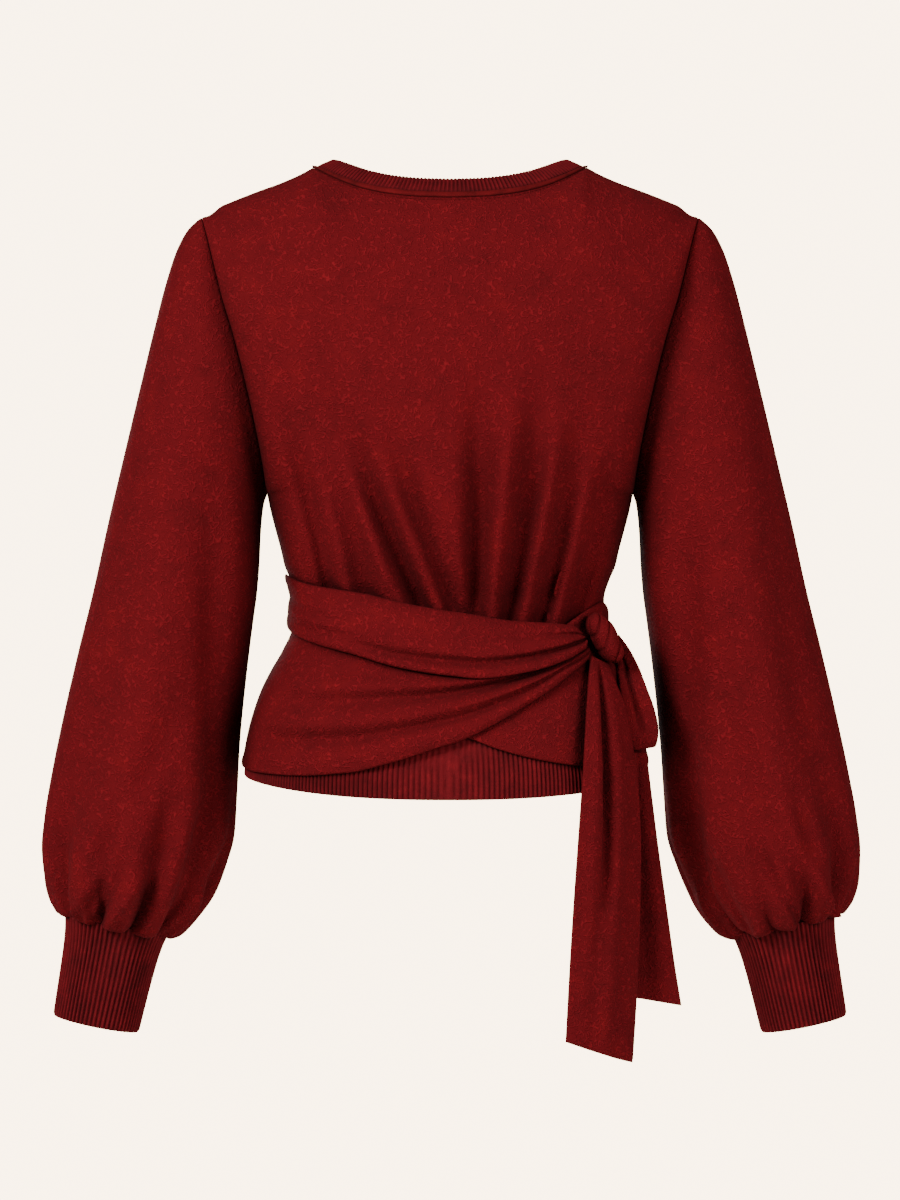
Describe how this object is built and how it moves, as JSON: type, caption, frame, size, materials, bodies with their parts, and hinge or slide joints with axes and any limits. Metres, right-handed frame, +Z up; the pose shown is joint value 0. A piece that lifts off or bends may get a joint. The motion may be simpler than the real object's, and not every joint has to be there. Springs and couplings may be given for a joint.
{
  "type": "wrap top",
  "caption": "Hollow knit wrap top, as worn: crossed fronts, full sleeves gathered into ribbed cuffs, ribbed neckband and hem, and wrap panels tied in a hanging bow at one side of the back",
  "frame": {"origin": "between the shoulders, level with the top of the shoulder seams beside the neck, where the wearer holds the garment up", "axes": "+Z up the body, the back of the garment and its bow face -Y, the wearer's left is -X and the wearer's right is +X"},
  "size_m": [0.6426, 0.2431, 0.6967],
  "materials": {
    "brushed_knit": "deep red brushed knit with a short curly nap, matt",
    "rib_knit": "deep red rib knit, matt",
    "tape": "narrow folded strip of the same red knit, matt"
  },
  "bodies": {
    "root": {"back": "brushed_knit", "front_over": "brushed_knit", "front_under": "brushed_knit", "sleeve_left": "brushed_knit", "sleeve_right": "brushed_knit", "wrap_sash": "brushed_knit", "wrap_lower": "brushed_knit", "wrap_under": "brushed_knit", "knot": "brushed_knit", "bow_loop": "brushed_knit", "tail_front": "brushed_knit", "tail_back": "brushed_knit", "neckband": "rib_knit", "hem_band": "rib_knit", "cuff_left": "rib_knit", "cuff_right": "rib_knit", "neck_tape": "tape"}
  },
  "joints": []
}
